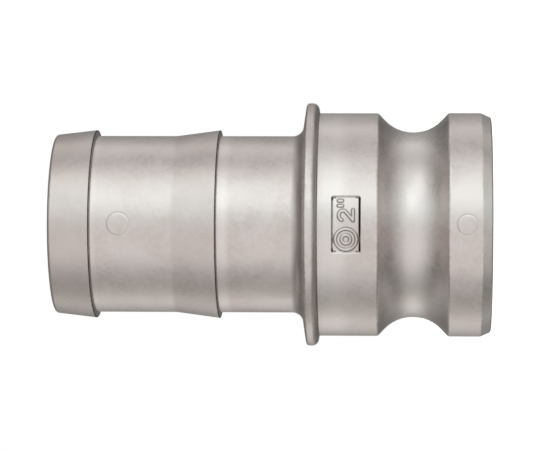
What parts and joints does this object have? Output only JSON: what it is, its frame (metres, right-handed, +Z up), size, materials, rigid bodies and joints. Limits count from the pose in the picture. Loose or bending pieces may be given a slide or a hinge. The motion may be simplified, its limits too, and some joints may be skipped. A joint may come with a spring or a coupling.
{
  "type": "camlock hose adapter",
  "caption": "Male cam-and-groove hose adapter, cast in one piece: round head with cam groove and sealing face, hose stop collar, barbed shank, open waterway.",
  "frame": {"origin": "centre of the sealing face, which the part stands on", "axes": "+Z along the waterway, from the sealing face to the hose end; -Y out through the middle of the marking pad; +X to the right as the pad is seen with +Z up"},
  "size_m": [0.0684, 0.0684, 0.1226],
  "materials": {
    "cast_stainless": "fine blasted investment casting, satin, warm grey"
  },
  "bodies": {
    "root": {"adapter_casting": "cast_stainless"}
  },
  "joints": []
}
